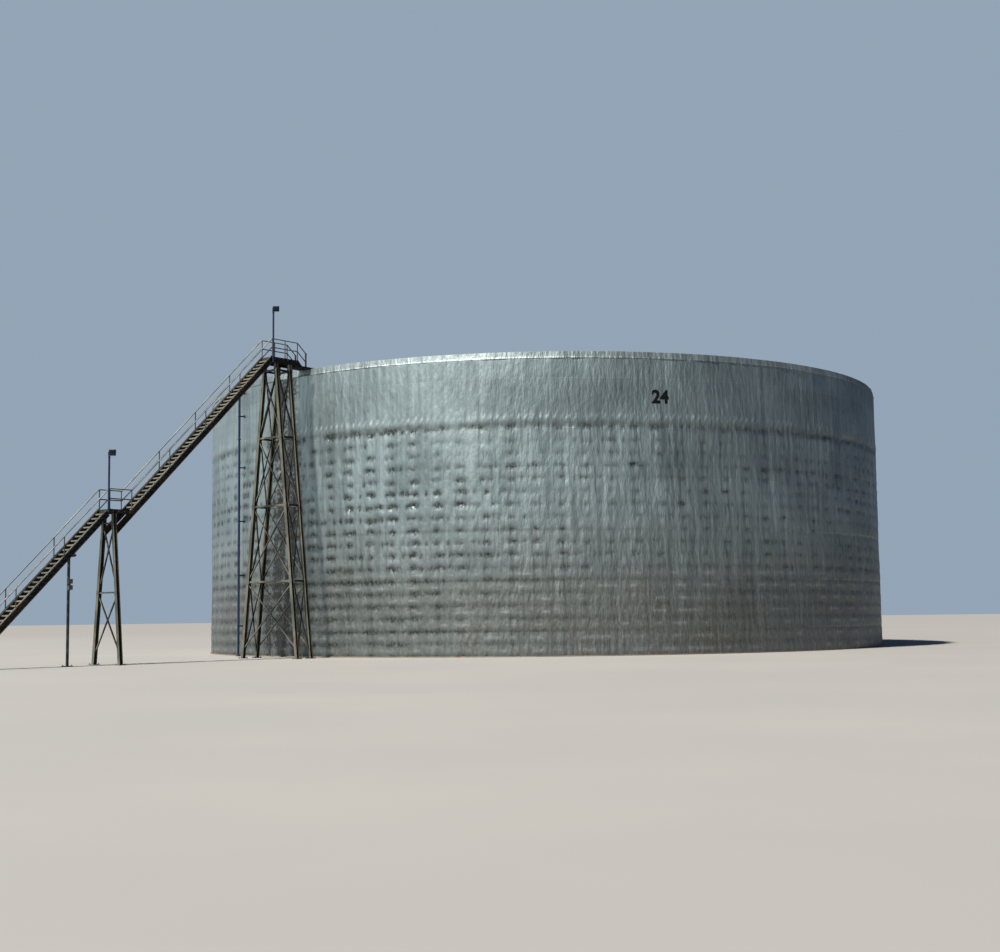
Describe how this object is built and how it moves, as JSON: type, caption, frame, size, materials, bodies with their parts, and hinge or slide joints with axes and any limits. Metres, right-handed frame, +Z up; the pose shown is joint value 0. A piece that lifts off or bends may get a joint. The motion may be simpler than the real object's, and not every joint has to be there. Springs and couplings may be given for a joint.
{
  "type": "vertical storage tank, scale model at 1:2",
  "caption": "Round insulated storage tank with a low cone roof and a radial steel stair on a trestle and a braced tower, rising over the rim.",
  "frame": {"origin": "middle of the underside of the tank's floor, at ground level", "axes": "+Z up; the stair lies along -X from the tank, its left side to +Y as one climbs it"},
  "size_m": [29.658, 20.06, 8.8021],
  "materials": {
    "jacketing": "weathered, dented sheet with lap seams",
    "roof_sheet": "weathered sheet",
    "floor_plate": "bare steel plate, rusty at the edge",
    "stair_paint": "faded khaki paint with rust",
    "rail_paint": "faded tan paint with rust",
    "navy_enamel": "gloss enamel",
    "lamp_housing": "die-cast, satin",
    "lamp_glass": "clear",
    "box_enamel": "satin grey",
    "number_paint": "flat black paint"
  },
  "bodies": {
    "root": {"tank_floor": "floor_plate", "roof_crown": "roof_sheet", "riser_pipe": "navy_enamel", "mid_light_pole": "navy_enamel", "top_light_pole": "navy_enamel", "mid_floodlight": "lamp_housing", "top_floodlight": "lamp_housing", "switch_boxes": "box_enamel", "wall_segment_1": "jacketing", "wall_segment_2": "jacketing", "wall_segment_3": "jacketing", "wall_segment_4": "jacketing", "wall_segment_5": "jacketing", "wall_segment_6": "jacketing", "wall_segment_7": "jacketing", "wall_segment_8": "jacketing", "rim_flashing_1": "jacketing", "rim_flashing_2": "jacketing", "rim_flashing_3": "jacketing", "rim_flashing_4": "jacketing", "roof_sector_1": "roof_sheet", "roof_sector_2": "roof_sheet", "roof_sector_3": "roof_sheet", "roof_sector_4": "roof_sheet", "roof_sector_5": "roof_sheet", "roof_sector_6": "roof_sheet", "lower_flight": "stair_paint", "mid_landing": "stair_paint", "upper_flight": "stair_paint", "top_platform": "stair_paint", "roof_steps": "stair_paint", "landing_trestle": "stair_paint", "tower_outer_bent": "stair_paint", "tower_inner_bent": "stair_paint", "tower_bracing_left": "stair_paint", "tower_bracing_right": "stair_paint", "lower_post": "navy_enamel", "lower_handrail_left": "rail_paint", "lower_handrail_right": "rail_paint", "landing_handrail_left": "rail_paint", "landing_handrail_right": "rail_paint", "upper_handrail_left": "rail_paint", "upper_handrail_right": "rail_paint", "platform_handrail_left": "rail_paint", "platform_handrail_right": "rail_paint"}
  },
  "joints": []
}
